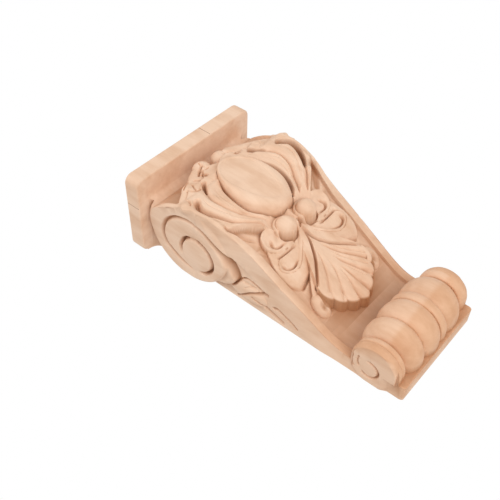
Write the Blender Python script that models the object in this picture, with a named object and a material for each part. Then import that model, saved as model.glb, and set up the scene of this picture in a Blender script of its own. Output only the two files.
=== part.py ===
"""A carved wooden corbel, upright as it is fixed to a wall.

The flat back lies in the plane Y = 0, the carving faces -Y, the top plate is up (+Z), and the
origin is the middle of the back. Sizes are in millimetres and become metres in the mesh.

The carving is laid out on two boards. The front board has `a`, the distance down from the top of
the plate, and `u`, the distance from the middle line. The side board has `a` and `z`, the distance
out from the back. front_height(a, across) and side_reach(a, z) give the carved surface.
"""
import math

import bmesh
import bpy
import numpy as np

MM = 0.001

# The blank: overall length, width of the plate, depth of the plate
LENGTH = 220.0
WIDTH = 115.0
DEPTH = 65.0
HIGHEST = DEPTH - 0.05

# The top plate, its eased edges and round upright corners, and the hollow under it
PLATE_THICK = 12.0
PLATE_ROUND = 1.3
PLATE_CORNER = 4.5
CORNER_SHARE = 0.12
NECK_FRONT = 44.0
NECK_HALF = 44.5
COVE_LONG = 6.0
COVE_SIDE = 9.0
COVE_FRONT = 6.0

# The front profile: a round shoulder, a straight slope and a hollow sweep down to the tail
SHOULDER_A = 60.0
SHOULDER_TOP = 64.0
SHOULDER_R = 54.0
SHOULDER_DROP = 1.8
SHOULDER_LOW = (43.0, 48.0)
SWEEP_A = 180.0
SWEEP_R = 60.0
TAIL_THICK = 12.0

# The scroll's disc on each side, and the strip that runs down beside the front
SCROLL = (50.0, 33.0)
SCROLL_R = 36.0
SCROLL_HALF = 51.5
SCROLL_EASE = 3.0
STRIP = 16.5
STRIP_START = (46.0, 58.0)
STRIP_FADE = (96.0, 116.0)
EDGE_EASE = 0.6

# Half width at the front arris, and the leaf tip that sticks out of it at the shoulder
HALF_WIDTHS = ((46, 51.0), (60, 51.8), (67, 50.6), (80, 49), (93, 46.2), (103, 45.2), (126, 44.5),
               (150, 43), (168, 42.3), (204, 42), (218, 41.9), (219.3, 41.3), (220, 40.4))
TIP_A = 49.0
TIP_LONG = 3.2
TIP_DEEP = (1.0, 6.0)
TIP_OUT = 2.4

# The roll across the foot, as rings from one side to the other: start, end, radius
ROLL_A = 198.0
ROLL_Z = 16.0
ROLL_END_R = 17.2
ROLL_END_HALF = 44.2
ROLL_END_EASE = 1.2
ROLL_FOOT = (204.0, 210.0)
RINGS = ((-44.3, -38.4, 17.2), (-38.4, -33.2, 17.6), (-33.2, -14.6, 20.2), (-14.6, 3.0, 20.9),
         (3.0, 10.4, 20.0), (10.4, 33.2, 20.2), (33.2, 44.3, 17.2))
RING_DIP = 3.2
RING_DIP_SHARE = 0.45
END_RING = 35.0

# How fine the carved surface is sampled, and how many faces are kept
STEPS_LENGTH = 300
STEPS_COVE = 6
COVE_STARTS = 0.15
STEPS_SIDE = 46
STEPS_FRONT = 150
FACES_KEPT = 9800


def smooth_line(points, pieces=7):
    """A smooth line through a few points, as an array of many."""
    p = np.array(points, float)
    p = np.vstack([2 * p[0] - p[1], p, 2 * p[-1] - p[-2]])
    t = np.linspace(0.0, 1.0, pieces, endpoint=False)[:, None]
    out = []
    for before, start, end, after in zip(p, p[1:], p[2:], p[3:]):
        out.append(0.5 * (2 * start + (end - before) * t
                          + (2 * before - 5 * start + 4 * end - after) * t ** 2
                          + (3 * start - before - 3 * end + after) * t ** 3))
    return np.vstack(out + [p[-2:-1]])


def nearest(x, y, line):
    """Distance to a line, and how far along it the nearest point is, 0 to 1."""
    best = np.full(x.shape, np.inf)
    along = np.zeros(x.shape)
    count = len(line) - 1
    for k in range(count):
        ax, ay = line[k]
        dx, dy = line[k + 1] - line[k]
        t = np.clip(((x - ax) * dx + (y - ay) * dy) / (dx * dx + dy * dy), 0.0, 1.0)
        d = (x - ax - t * dx) ** 2 + (y - ay - t * dy) ** 2
        closer = d < best
        best = np.where(closer, d, best)
        along = np.where(closer, (k + t) / count, along)
    return np.sqrt(best), along


def inside(x, y, line):
    """True inside a closed outline."""
    within = np.zeros(x.shape, bool)
    for (ax, ay), (bx, by) in zip(line, np.roll(line, -1, axis=0)):
        if ax != bx:
            crossed = (x < ax) != (x < bx)
            within ^= crossed & (y < ay + (x - ax) / (bx - ax) * (by - ay))
    return within


def soft_step(x, low, high):
    """0 below low, 1 above high, smooth between."""
    t = np.clip((x - low) / (high - low), 0.0, 1.0)
    return t * t * (3.0 - 2.0 * t)


def along_table(x, table):
    """A value read from a table of (place, value) pairs."""
    return np.interp(x, [place for place, value in table], [value for place, value in table])


def round_top(d, half):
    """A half-round section: 1 on the line, 0 at the edge."""
    return np.sqrt(np.clip(1.0 - (d / half) ** 2, 0.0, 1.0))


def cut(d, half):
    """A gouge's section: 1 in the middle of the cut, 0 at its edge."""
    return soft_step(half - d, 0.0, half)


def valley(d, half):
    """A valley between two round forms: sharp at the bottom, level at the edge."""
    return 1.0 - np.sin(0.5 * math.pi * np.clip(d / half, 0.0, 1.0))


def disc(distance, radius, ease):
    """1 inside a round disc with an eased edge, 0 outside."""
    return round_top(np.clip(distance - radius + ease, 0.0, ease), ease)


def slope_angle():
    """Lean of the straight slope that touches both the shoulder and the sweep."""
    across = SWEEP_A - SHOULDER_A
    rise = TAIL_THICK + SWEEP_R - (SHOULDER_TOP - SHOULDER_R)
    return math.asin((SHOULDER_R + SWEEP_R) / math.hypot(across, rise)) - math.atan2(rise, across)


LEAN = slope_angle()


def front_edge(a):
    """Distance of the front arris from the back, all down the body."""
    shoulder_z = SHOULDER_TOP - SHOULDER_R
    shoulder = shoulder_z + np.sqrt(np.clip(SHOULDER_R ** 2 - (a - SHOULDER_A) ** 2, 0.0, None))
    shoulder = shoulder - SHOULDER_DROP * (1.0 - soft_step(a, *SHOULDER_LOW))
    sweep_z = TAIL_THICK + SWEEP_R
    sweep = sweep_z - np.sqrt(np.clip(SWEEP_R ** 2 - (SWEEP_A - a) ** 2, 0.0, None))
    slope_a = SHOULDER_A + SHOULDER_R * math.sin(LEAN)
    slope = shoulder_z + SHOULDER_R * math.cos(LEAN) - math.tan(LEAN) * (a - slope_a)
    z = np.where(a < slope_a, np.maximum(shoulder, NECK_FRONT), slope)
    z = np.where(a > SWEEP_A - SWEEP_R * math.sin(LEAN), sweep, z)
    return np.where(a > SWEEP_A, TAIL_THICK, z)


def side_level(a, z):
    """Half width of the body before its sides are carved: the scroll's disc stands proud."""
    strip = along_table(a, HALF_WIDTHS)
    below = NECK_HALF + (strip - NECK_HALF) * soft_step(a, *ROLL_FOOT)
    under = (front_edge(a) - z) * math.cos(LEAN)
    on_strip = (1.0 - soft_step(under, STRIP - EDGE_EASE, STRIP + EDGE_EASE)) * soft_step(a, *STRIP_START)
    plain = np.clip(1.0 - under / TAIL_THICK, 0.0, 1.0)
    on_strip = on_strip + (plain - on_strip) * soft_step(a, *STRIP_FADE)
    level = below + (strip - below) * on_strip
    scroll = disc(np.hypot(a - SCROLL[0], z - SCROLL[1]), SCROLL_R, SCROLL_EASE)
    level = np.maximum(level, (NECK_HALF + (SCROLL_HALF - NECK_HALF) * scroll) * (scroll > 0.0))
    on_tail = soft_step(a, *ROLL_FOOT) * (1.0 - soft_step(z - TAIL_THICK, 0.1, EDGE_EASE))
    roll_end = disc(np.hypot(a - ROLL_A, z - ROLL_Z), ROLL_END_R, ROLL_END_EASE) * (1.0 - on_tail)
    level = level + np.clip(ROLL_END_HALF - level, 0.0, None) * roll_end
    tip = np.exp(-((a - TIP_A) / TIP_LONG) ** 2) * (1.0 - soft_step(under, *TIP_DEEP))
    return level + TIP_OUT * tip


def half_width(a):
    """Half width of the body at its front arris."""
    return side_level(a, front_edge(a))


def roll(a, across):
    """Height of the roll over the back, 0 where there is none."""
    height = np.zeros(np.broadcast(a, across).shape)
    reach = np.abs(a - ROLL_A)
    for start, finish, radius in RINGS:
        wide = 0.5 * (finish - start)
        middle = 0.5 * (start + finish)
        off = np.abs(across - middle)
        at_end = (abs(middle) > END_RING) & (np.abs(across) > abs(middle))
        dip = min(RING_DIP, RING_DIP_SHARE * wide)
        swell = radius - dip * (1.0 - round_top(np.where(at_end, 0.0, off), wide * 1.02))
        ring = ROLL_Z + np.sqrt(np.clip(swell ** 2 - reach ** 2, 0.0, None))
        height = np.where((off <= wide) & (reach < swell), np.maximum(height, ring), height)
    return height


def rim_height(a):
    """Distance of the outer edge from the back: the front arris, and the end of the roll."""
    return np.maximum(front_edge(a), roll(a, ROLL_END_HALF))


def gouge(z, a, u, groove):
    """The surface with a groove cut in it: line, half widths at its ends, depth, section, fades."""
    line, start, finish, depth, section, fade_in, fade_out = groove
    d, t = nearest(a, u, smooth_line(line))
    ends = np.minimum(t / fade_in, 1.0) * np.minimum((1.0 - t) / fade_out, 1.0)
    return z - depth * section(d, start + (finish - start) * t) * ends


# The panel: the borders' width down the body, and how deep the front is sunk between them
BORDERS = ((78, 2.6), (90, 4.2), (105, 6.0))
BORDER_EASE = 1.6
PANEL_SUNK = 4.2
PANEL_START = (18.0, 34.0)

# The leaf round the boss: where its head starts, where its flank ends, its height over the edge
LEAF_HEAD = ((0, 33), (5, 30), (12, 29), (18, 36.5), (26, 38), (33, 36), (38, 40), (43, 43), (52, 40))
LEAF_FLANK = ((58, 56), (60.5, 51), (66.5, 50.5), (72.5, 49.2), (78.5, 46.8), (82.7, 42), (87.8, 35),
              (92.8, 28), (98, 21), (103, 14))
LEAF_END = 103.0
LEAF_EASE = 0.8
LEAF_RISE = 0.8
LEAF_DISH = 5.0
DISH_ACROSS = (16.0, 40.0)
DISH_DOWN = (42.0, 58.0)
HEAD_Z = 61.5
HEAD_START = (30.0, 59.5)
HEAD_LEAN = 0.2
SIDE_FALL = (34.0, 0.09, 1.3)

# Grooves and deep eyes between the strands of leaf
NONE = 1e-6
STRAND_CUTS = (
    (((43, 9), (48, 12.5), (57, 18.5), (65, 21), (72, 21.5), (79, 19.8), (86, 15.8), (92, 12)),
     3.2, 2.8, 4.2, valley, 0.1, NONE),
    (((39, 22), (46, 27.5), (52.5, 31.5), (59, 33.5), (66, 33), (73, 30.7), (80, 26), (86, 22), (93, 16.5)),
     4.4, 2.6, 3.2, valley, 0.1, NONE),
    (((50, 43), (58, 46.5), (66, 45.6), (73, 42.3), (79, 38.6), (85, 33.6), (90, 27.6), (96, 21)),
     4.2, 2.4, 3.4, valley, 0.1, NONE),
    (((40, 22.5), (45, 26.5), (51, 30.8)), 2.3, 1.0, 5.0, cut, 0.12, 0.2),
    (((50.5, 40.5), (55, 43.6), (60, 46.3), (67, 45.4), (74, 42.2), (81, 37.8)), 2.9, 1.4, 5.8, cut, 0.12, 0.2),
    (((79, 45.8), (85, 41.8), (90, 38.0), (96, 32.0)), 3.4, 2.0, 2.2, cut, 0.12, 0.2),
)
# Curled leaf tips under the plate: middle (a, u), radius, top
CURLS = ((25.6, 10.5, 6.4, 61.2), (38.0, 33.0, 7.0, 61.0), (48.5, 49.5, 4.2, 64.4), (34.0, 22.5, 4.6, 60.2))

# The oval boss: its crown is an egg round CROWN_A, and its foot an outline with its own depth
CROWN_A = 56.0
CROWN_UP = 19.0
CROWN_DOWN = 34.0
CROWN_HALF = 15.6
CROWN_POWER = 1.6
FIELD = ((37, 64.3), (50, 64.7), (62, 64.2), (90, 61.0))
FIELD_RIM = 0.6
RIM_FROM = (0.90, 0.97)
FOOT = ((34.5, -2), (35.5, 4), (40, 9.5), (45, 13.4), (50, 16.2), (57, 18.8), (65, 20.4), (72, 20.8),
        (79, 19.2), (86, 15.4), (91, 11.4), (94, 6.5), (95, -2))
FOOT_DEEP = ((40, 3.0), (46, 4.0), (58, 7.5), (70, 9.0))

# Cupped lobes of the hanging leaf: closed outline, rise over the edge line, hollow inside its rim
LOBES = (
    (((116, 5), (124, 9), (128, 14), (130.5, 23.4), (132.5, 31.5), (128.5, 36.3), (122.7, 38.6), (116, 38),
      (109, 35.5), (103, 31), (104, 20), (108, 8)), -0.6, -1.2),
    (((110, 3), (116, 9.5), (121, 16.0), (124, 22.7), (123.5, 29.4), (120.3, 34.6), (116.5, 35), (113, 31),
      (112.6, 25), (111.5, 14), (107, 6)), 0.9, 2.6),
    (((106.5, 3), (110.3, 9), (111.2, 17.5), (111, 25), (108.5, 31), (103, 33.5), (97, 31), (95, 24),
      (98, 16), (101, 8)), 1.8, 2.6),
)
RIM_WIDE = 0.9
RIM_DROP = 2.4
HOLLOW_TO = 4.2
LOBE_CUTS = (
    (((101, 25.5), (105, 28), (108, 25.5), (108, 18)), 1.9, 1.0, 2.6, cut, 0.15, 0.2),
    (((116, 31.5), (120, 31.0), (121.6, 25.5), (119.5, 18.5)), 1.6, 0.9, 2.2, cut, 0.15, 0.2),
    (((112.2, 32), (112.6, 26), (112.9, 19), (112.5, 11)), 1.3, 1.0, 2.4, cut, 0.15, 0.2),
    (((133, 31.5), (131, 23.6), (128.6, 14.8), (124.5, 8.5)), 1.9, 0.9, 2.6, cut, 0.15, 0.2),
)
STEM = ((108, 2.4), (116, 5.2), (123, 9.6), (130, 15.6), (136, 22.0), (142, 27.5))
STEM_HALF = 2.6
STEM_RISE = (0.2, 0.8)

# The fan of round fingers that ends the leaf, the vein beside it and the knob below the vein
FAN_A = 100.0
FAN_ANGLE = math.radians(31.4)
FAN_SHORT = 48.0
FAN_LONG = 62.0
FAN_FLUTES = 7
FAN_LIFT = 8.2
FAN_SINK = 0.9
FINGER_TIP = 2.2
DROOP = 1.8
DROOP_LONG = 4.0
FINGER_DIP = 1.4
FAN_CUTS = (
    (((118, 2.2), (126, 4.6), (133, 8.4), (140, 13.8), (148, 21.2)), 1.2, 2.3, 1.9, valley, 0.35, NONE),
    (((131, 2.2), (139, 4.6), (148, 9.6), (157, 16.4)), 1.0, 2.4, 1.9, valley, 0.35, NONE),
    (((140, 0.9), (150, 2.2), (163, 5.6)), 0.9, 2.2, 1.8, valley, 0.35, NONE),
    (((105, 0.3), (110, 0.7), (115.7, 1.9), (121, 5.0), (127, 9.8), (133, 16.4), (140.5, 25.0)),
     1.0, 1.6, 4.0, cut, 0.2, 0.03),
)
KNOB = (146.5, 28.3)
KNOB_R = 5.8
KNOB_LONG = 0.82
KNOB_SINK = 3.0
KNOB_RISE = 7.6

# The pair of balls under the boss, each wrapped on its upper side by a raised rim
BALL = (102.3, 10.8)
BALL_Z = 50.4
BALL_R = 7.2
WRAP_R = 8.0
WRAP_HALF = 1.3
WRAP_TOP = 52.0
WRAP_RISE = 2.0
WRAP_TURN = (1.7, 2.1)
WRAP_LEAN = 0.25
BALL_BED = 1.8
BED_SLOPE = 0.9
UNDERCUT = (0.5, 1.2, 2.4)

# Easing of the arris, widest at the shoulder
ARRIS_EASE = 1.0
SHOULDER_EASE = 1.6


def leaf_on(z, a, u, edge):
    """The leaf laid over the panel round the boss, with its strands and curled head."""
    start = along_table(u, LEAF_HEAD)
    end = along_table(a, LEAF_FLANK)
    leaf = soft_step(a - start, -1.0, 1.0) * (1.0 - soft_step(u - end, 0.0, LEAF_EASE)) * (a < LEAF_END)
    dish = LEAF_DISH * (1.0 - soft_step(u, *DISH_ACROSS)) * soft_step(a, *DISH_DOWN)
    out, fall, power = SIDE_FALL
    head = np.minimum(HEAD_Z, HEAD_START[1] + HEAD_LEAN * (a - HEAD_START[0]))
    head = head - fall * np.clip(u - out, 0.0, None) ** power
    top = np.maximum(edge + LEAF_RISE, head) - dish
    z = z + np.clip(top - z, 0.0, None) * leaf
    for groove in STRAND_CUTS:
        z = gouge(z, a, u, groove)
    for mid_a, mid_u, radius, top_z in CURLS:
        d = np.hypot(a - mid_a, u - mid_u)
        z = np.where(d < radius, np.maximum(z, top_z - radius + radius * round_top(d, radius)), z)
    return z


def boss_on(z, a, u, edge, in_foot):
    """The oval boss, standing in the hollow of the leaf."""
    t = np.where(a < CROWN_A, (a - CROWN_A) / CROWN_UP, (a - CROWN_A) / CROWN_DOWN)
    crown = np.sqrt((u / CROWN_HALF) ** CROWN_POWER + t ** 2)
    d, along = nearest(a, u, smooth_line(FOOT))
    out = CROWN_HALF * np.clip(crown - 1.0, 0.0, None)
    slope = np.clip(out / (out + np.clip(d, NONE, None)), 0.0, 1.0)
    field = along_table(a, FIELD) - FIELD_RIM * (1.0 - soft_step(crown, *RIM_FROM))
    low = edge - along_table(a, FOOT_DEEP)
    boss = low + (field - low) * round_top(slope, 1.0)
    return np.where(in_foot, np.where(a < FOOT_DEEP[0][0], np.maximum(z, boss), boss), z)


def hanging_leaf_on(z, a, u, edge):
    """The cupped lobes, the stem, the fan with its vein, and the knob."""
    for outline, rise, hollow in LOBES:
        line = smooth_line(outline + outline[:1])
        d, along = nearest(a, u, line)
        lobe = edge + rise - hollow * soft_step(d, RIM_WIDE, HOLLOW_TO)
        lobe = lobe - RIM_DROP * (1.0 - round_top(np.clip(RIM_WIDE - d, 0.0, RIM_WIDE), RIM_WIDE))
        z = np.where(inside(a, u, line), np.maximum(z - 1.0, lobe), z)
    for groove in LOBE_CUTS:
        z = gouge(z, a, u, groove)
    d, along = nearest(a, u, smooth_line(STEM))
    z = np.where(d < STEM_HALF, np.maximum(z, edge + STEM_RISE[0] + STEM_RISE[1] * round_top(d, STEM_HALF)), z)

    angle = np.arctan2(u, a - FAN_A)
    reach = np.hypot(a - FAN_A, u)
    share = np.clip(angle / FAN_ANGLE, 0.0, 1.0)
    finger = np.sqrt(np.abs(np.cos(math.pi * 0.5 * FAN_FLUTES * share)))
    end = FAN_SHORT + (FAN_LONG - FAN_SHORT) * (1.0 - share) ** 0.8 + FINGER_TIP * finger
    lift = FAN_LIFT * soft_step(reach, 6.0, 58.0) - FAN_SINK
    droop = DROOP * (1.0 - round_top(np.clip(reach - end + DROOP_LONG, 0.0, DROOP_LONG), DROOP_LONG + 0.1))
    droop = droop + FINGER_DIP * (1.0 - finger) * soft_step(reach, 44.0, 56.0)
    in_fan = (angle <= FAN_ANGLE * 1.01) & (reach < end) & (a > FAN_A + 2.0)
    z = np.where(in_fan, np.maximum(z, edge + lift - droop), z)
    for groove in FAN_CUTS:
        z = gouge(z, a, u, groove)
    d = np.hypot((a - KNOB[0]) * KNOB_LONG, u - KNOB[1])
    return np.where(d < KNOB_R, np.maximum(z, edge - KNOB_SINK + KNOB_RISE * round_top(d, KNOB_R)), z)


def balls_on(z, a, u, in_foot):
    """The pair of balls with their rims."""
    d = np.hypot(a - BALL[0], u - BALL[1])
    turn = np.arctan2(u - BALL[1], BALL[0] - a)
    wrapped = 1.0 - soft_step(np.abs(turn + WRAP_LEAN), *WRAP_TURN)
    bed = WRAP_TOP - BALL_BED + BED_SLOPE * np.clip(d - WRAP_R - 1.0, 0.0, None)
    z = np.where(in_foot, z, np.minimum(z, bed))
    wrap = WRAP_TOP - WRAP_RISE + WRAP_RISE * round_top(d - WRAP_R, WRAP_HALF)
    z = np.where(np.abs(d - WRAP_R) < WRAP_HALF, z + (np.maximum(z, wrap) - z) * wrapped, z)
    off, half, depth = UNDERCUT
    z = z - depth * cut(np.abs(d - BALL_R - off), half) * (1.0 - wrapped)
    return np.where(d < BALL_R, BALL_Z + BALL_R * round_top(d, BALL_R), z)


def front_height(a, across):
    """The carved front: distance out from the back."""
    u = np.abs(across)
    edge = front_edge(a)
    half = half_width(a)
    border = along_table(a, BORDERS)
    sunk = soft_step(a, *PANEL_START) * (1.0 - soft_step(a, ROLL_A, ROLL_A + 4.0))
    z = edge - PANEL_SUNK * sunk * (1.0 - soft_step(u - half + border, -BORDER_EASE, 0.0))
    in_foot = inside(a, u, smooth_line(FOOT))
    z = leaf_on(z, a, u, edge)
    z = boss_on(z, a, u, edge, in_foot)
    z = hanging_leaf_on(z, a, u, edge)
    z = balls_on(z, a, u, in_foot)
    ease = ARRIS_EASE + SHOULDER_EASE * (1.0 - soft_step(a, 38.0, 50.0))
    eased = ease * (1.0 - round_top(np.clip(u - half + ease, 0.0, ease), ease))
    z = z - eased * soft_step(a, 20.0, 30.0) * (1.0 - soft_step(a, 168.0, 176.0))
    return np.minimum(np.maximum(z, roll(a, across)), HIGHEST)


# The scroll's groove: it rises from the crook, runs over the top and round to the foot
SCROLL_GROOVE = ((91, 25), (87, 32), (80.5, 39), (74, 44), (66, 49.0), (58, 51.8), (50, 51.8), (40, 48.2),
                 (31.5, 40), (28, 30), (29.5, 21.5), (35.5, 15.6), (43, 11.4), (51, 8.8), (58, 8))
GROOVE_HALF = ((0.0, 3.0), (0.35, 1.9), (0.8, 2.0), (1.0, 1.2))
GROOVE_DEPTH = ((0.0, 7.5), (0.3, 3.6), (0.8, 3.0), (1.0, 0.0))
EYE = (57.0, 22.0)
EYE_R = 12.3
EYE_RISE = 0.8
EYE_CUT = (1.2, 1.9, 5.0)
EYE_CLOSED = ((math.radians(250.0), 0.5, 0.9, 1.0), (math.radians(100.0), 0.9, 0.98, 0.75))

# Cuts round the leaf in the crook and the sunk slit beyond it
SIDE_CUTS = (
    (((91, 25), (89.5, 19.5), (87, 13)), 2.6, 1.0, 4.0, cut, NONE, NONE),
    (((89, 18), (93, 22.6), (98, 24.4), (104, 23.6), (112, 19.8)), 1.3, 1.2, 2.6, cut, NONE, NONE),
    (((112.5, 20), (104, 15.5), (96, 10.8), (87, 2.5)), 1.6, 1.2, 2.6, cut, NONE, NONE),
    (((119, 12.5), (124, 14.4), (130, 12.8), (137, 9.8), (143, 6.5)), 2.4, 0.9, 2.8, cut, NONE, NONE),
)

# The small scroll on the end of the roll
ROLL_EYE = (195.0, 11.5)
ROLL_EYE_R = 6.8
ROLL_EYE_GROW = 1.2
ROLL_EYE_CUT = (1.4, 2.4)
ROLL_EYE_OPEN = (0.3, 1.6, 2.3)


def side_reach(a, z):
    """The carved side: distance out from the middle line."""
    reach = side_level(a, z)
    for groove in SIDE_CUTS:
        reach = gouge(reach, a, z, groove)
    d, t = nearest(a, z, smooth_line(SCROLL_GROOVE))
    reach = reach - along_table(t, GROOVE_DEPTH) * cut(d, along_table(t, GROOVE_HALF))
    eye_d = np.hypot(a - EYE[0], z - EYE[1])
    turn = np.arctan2(z - EYE[1], a - EYE[0])
    closed = np.zeros(a.shape)
    for angle, start, finish, share in EYE_CLOSED:
        closed = np.maximum(closed, share * soft_step(np.cos(turn - angle), start, finish))
    off, half, depth = EYE_CUT
    reach = reach - depth * cut(np.abs(eye_d - EYE_R - off), half) * (1.0 - closed)
    reach = reach + EYE_RISE * round_top(eye_d, EYE_R)

    roll_d = np.hypot(a - ROLL_EYE[0], z - ROLL_EYE[1])
    turn = np.arctan2(z - ROLL_EYE[1], a - ROLL_EYE[0])
    swirl = ROLL_EYE_R + ROLL_EYE_GROW * (turn / math.pi)
    lean, start, finish = ROLL_EYE_OPEN
    half, depth = ROLL_EYE_CUT
    return reach - depth * cut(np.abs(roll_d - swirl), half) * (1.0 - soft_step(np.abs(turn + lean), start, finish))


def plate_sheet(side_t, front_t):
    """Points of the plate's sides and front: its edges are eased and its upright corners round."""
    turn = np.linspace(0.0, math.pi / 2, 4)
    eased = PLATE_ROUND * (1.0 - np.cos(turn))
    inset = PLATE_ROUND * (1.0 - np.sin(turn))
    a = np.concatenate([eased, PLATE_THICK - eased[::-1]])[:, None]
    inset = np.concatenate([inset, inset[::-1]])[:, None]
    back_turn = 0.5 * math.pi * np.clip(side_t / CORNER_SHARE, 0.0, 1.0)
    front_turn = 0.5 * math.pi * np.clip((side_t - 1.0) / CORNER_SHARE + 1.0, 0.0, 1.0)
    straight = np.clip((side_t - CORNER_SHARE) / (1.0 - 2.0 * CORNER_SHARE), 0.0, 1.0)
    corner_u = PLATE_CORNER * (np.sin(back_turn) + np.cos(front_turn) - 2.0)
    corner_z = PLATE_CORNER * (1.0 - np.cos(back_turn) + np.sin(front_turn))
    side_z = corner_z + (DEPTH - inset - 2.0 * PLATE_CORNER) * straight
    side = (a + 0.0 * side_t, WIDTH / 2 - inset + corner_u, side_z)
    front_u = (WIDTH / 2 - inset - PLATE_CORNER) * front_t
    return side, (a + 0.0 * front_t, front_u, DEPTH - inset + 0.0 * front_t)


def sheet():
    """Points of the sheet that wraps the carved faces, rib by rib from the plate down."""
    side_t = np.linspace(0.0, 1.0, STEPS_SIDE, endpoint=False)[None]
    front_t = np.linspace(-1.0, 1.0, STEPS_FRONT + 1)[None]
    cove_end = PLATE_THICK + COVE_LONG

    turn = np.linspace(COVE_STARTS, math.pi / 2, STEPS_COVE, endpoint=False)
    a = np.concatenate([PLATE_THICK + COVE_LONG * (1.0 - np.cos(turn)),
                        np.linspace(cove_end, LENGTH, STEPS_LENGTH)])[:, None]
    cove = 1.0 - np.sqrt(1.0 - np.clip((cove_end - a) / COVE_LONG, 0.0, 1.0) ** 2)
    edge = rim_height(a)
    wide = half_width(a)
    side_z = edge * side_t
    body = (a + 0.0 * side_t, side_reach(a + 0.0 * side_t, side_z) + COVE_SIDE * cove,
            side_z * (1.0 + COVE_FRONT * cove / edge))
    front_z = front_height(a + 0.0 * front_t, wide * front_t) + COVE_FRONT * cove
    body_front = (a + 0.0 * front_t, (wide + COVE_SIDE * cove) * front_t, front_z)

    rows = []
    for side, front in (plate_sheet(side_t, front_t), (body, body_front)):
        down = np.concatenate([side[0], front[0], side[0][:, ::-1]], 1)
        across = np.concatenate([-side[1], front[1], side[1][:, ::-1]], 1)
        out = np.concatenate([side[2], front[2], side[2][:, ::-1]], 1)
        rows.append(np.stack([across, -out, LENGTH / 2 - down], 2))
    return np.concatenate(rows) * MM


def carve():
    """A sheet wrapped round the carved faces, closed by the flat back and the two ends."""
    points = sheet()[::-1]
    rows, columns = points.shape[:2]

    mesh = bpy.data.meshes.new("corbel")
    bm = bmesh.new()
    bmesh.ops.create_grid(bm, x_segments=columns - 1, y_segments=rows - 1, size=1.0)
    bm.verts.ensure_lookup_table()
    order = sorted(bm.verts, key=lambda v: (round(v.co.y * 1e5), round(v.co.x * 1e5)))
    for vertex, place in zip(order, points.reshape(-1, 3)):
        vertex.co = place
    first = order[:columns]
    last = order[-columns:]
    left = order[::columns]
    right = order[columns - 1::columns]
    ends = [bm.faces.new(first[::-1]), bm.faces.new(last)]
    bmesh.ops.poke(bm, faces=ends)
    for low_left, high_left, low_right, high_right in zip(left, left[1:], right, right[1:]):
        bm.faces.new((low_left, high_left, high_right, low_right))
    bmesh.ops.triangulate(bm, faces=bm.faces)
    bm.to_mesh(mesh)
    bm.free()
    return mesh


def wood():
    """Bare pale hardwood, sanded and unfinished."""
    material = bpy.data.materials.new("bare_wood")
    material.use_nodes = True
    shader = material.node_tree.nodes["Principled BSDF"]
    shader.inputs["Base Color"].default_value = (0.78, 0.55, 0.38, 1.0)
    shader.inputs["Roughness"].default_value = 0.62
    shader.inputs["Metallic"].default_value = 0.0
    return material


def build():
    for thing in list(bpy.data.objects):
        bpy.data.objects.remove(thing, do_unlink=True)
    group = bpy.data.collections.new("carved_corbel")
    bpy.context.scene.collection.children.link(group)
    mesh = carve()
    corbel = bpy.data.objects.new("corbel", mesh)
    group.objects.link(corbel)
    mesh.materials.append(wood())
    thin = corbel.modifiers.new("fewer faces", 'DECIMATE')
    thin.decimate_type = 'COLLAPSE'
    thin.ratio = FACES_KEPT / len(mesh.polygons)


build()
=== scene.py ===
"""The carved wooden corbel with its finely cut surface, bare wood, a pale floor and soft light.

Distances on the corbel are in millimetres. `a` runs down from the top of the plate, `u` out from
the middle line, and `z` out from the flat back. The mesh turns them into metres in the frame:
X is u, Y is -z and Z is half the length less a.
"""
import math

import bpy
import numpy as np
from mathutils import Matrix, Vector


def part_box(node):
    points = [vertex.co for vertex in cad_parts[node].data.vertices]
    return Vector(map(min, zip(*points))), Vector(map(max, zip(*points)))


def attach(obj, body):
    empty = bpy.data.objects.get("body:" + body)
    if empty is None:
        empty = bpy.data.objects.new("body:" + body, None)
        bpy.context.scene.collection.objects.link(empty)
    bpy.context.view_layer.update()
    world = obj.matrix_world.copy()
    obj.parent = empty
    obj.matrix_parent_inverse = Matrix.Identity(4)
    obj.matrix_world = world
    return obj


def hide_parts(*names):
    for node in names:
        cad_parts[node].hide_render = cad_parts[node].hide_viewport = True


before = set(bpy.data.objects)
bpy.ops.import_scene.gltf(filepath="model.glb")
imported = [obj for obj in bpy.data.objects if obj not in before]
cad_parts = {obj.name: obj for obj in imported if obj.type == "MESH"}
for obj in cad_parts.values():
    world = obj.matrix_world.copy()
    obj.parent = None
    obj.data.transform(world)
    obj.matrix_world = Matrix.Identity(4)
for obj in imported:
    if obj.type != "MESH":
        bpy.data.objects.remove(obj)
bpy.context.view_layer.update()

# The camera
# It stands below the corbel on its left and looks up at the carved front, turned so that the
# corbel lies across the picture from the plate at the upper left to the tail at the lower right.
CAMERA_PLACE = (-0.28999, -0.37983, -0.18840)
CAMERA_TURN = (132.845, 49.662, -1.527)
LENS_MM = 52.16
CAMERA_SHIFT = (0.0060, -0.0015)

bpy.ops.object.select_all(action='DESELECT')
bpy.ops.object.camera_add(location=CAMERA_PLACE, rotation=[math.radians(t) for t in CAMERA_TURN])
camera = bpy.context.object
camera.data.lens = LENS_MM
camera.data.shift_x, camera.data.shift_y = CAMERA_SHIFT
bpy.context.scene.camera = camera

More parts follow.
